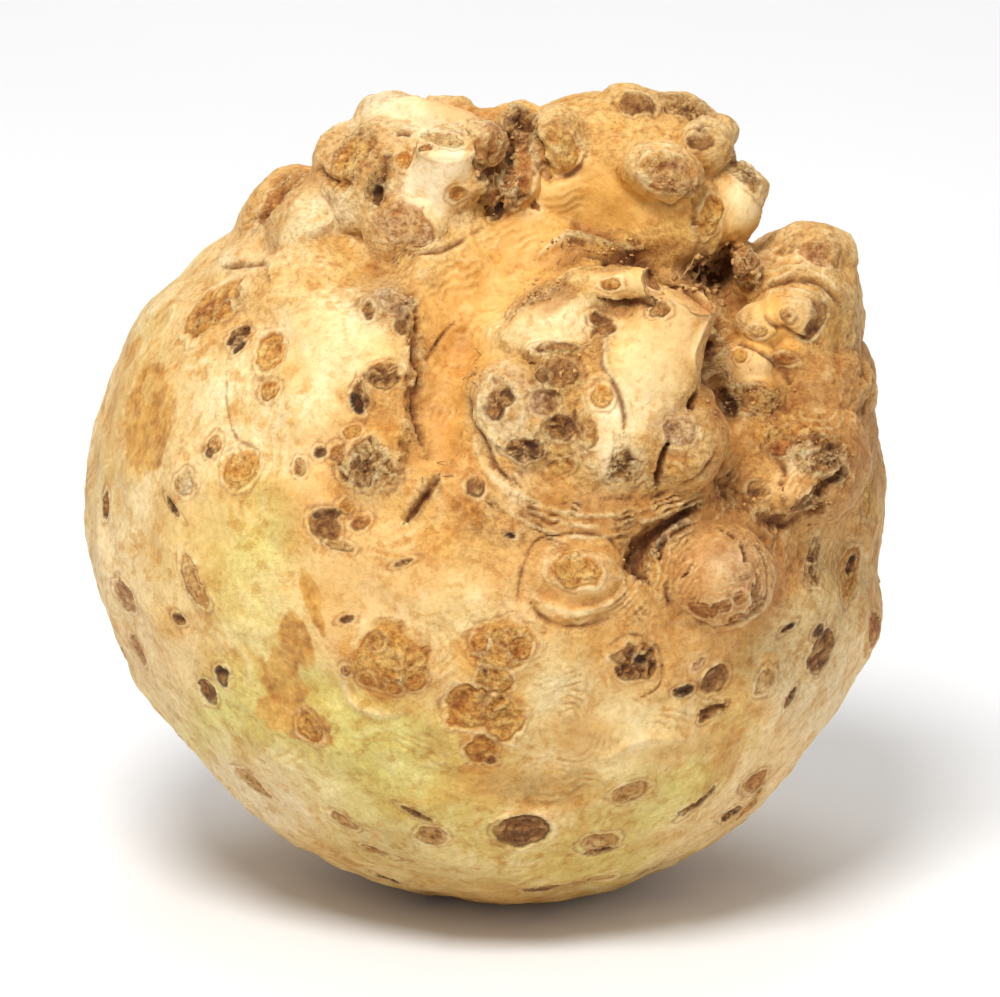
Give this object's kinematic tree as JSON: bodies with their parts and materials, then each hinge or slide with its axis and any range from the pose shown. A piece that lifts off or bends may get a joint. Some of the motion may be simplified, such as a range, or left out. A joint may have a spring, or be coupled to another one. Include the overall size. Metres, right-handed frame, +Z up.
{
  "type": "celeriac root",
  "caption": "Whole untrimmed celeriac root: a knobbly globe with cut root stubs, lobes, clefts and root scars at one end, resting on a small flat spot.",
  "frame": {"origin": "middle of the outer sizes from side to side and from front to back, at the height of the flat spot that it rests on", "axes": "+Z up, +X to the viewer's right and -Y towards the viewer who sees the root end up on the right; the trimmed leaf end looks back, down and to the left"},
  "size_m": [0.12, 0.1072, 0.1252],
  "materials": {
    "celeriac_root": "waxy cream-yellow vegetable skin, ochre and rough at the root end, with brown scars"
  },
  "bodies": {
    "root": {"celeriac_root": "celeriac_root"}
  },
  "joints": []
}
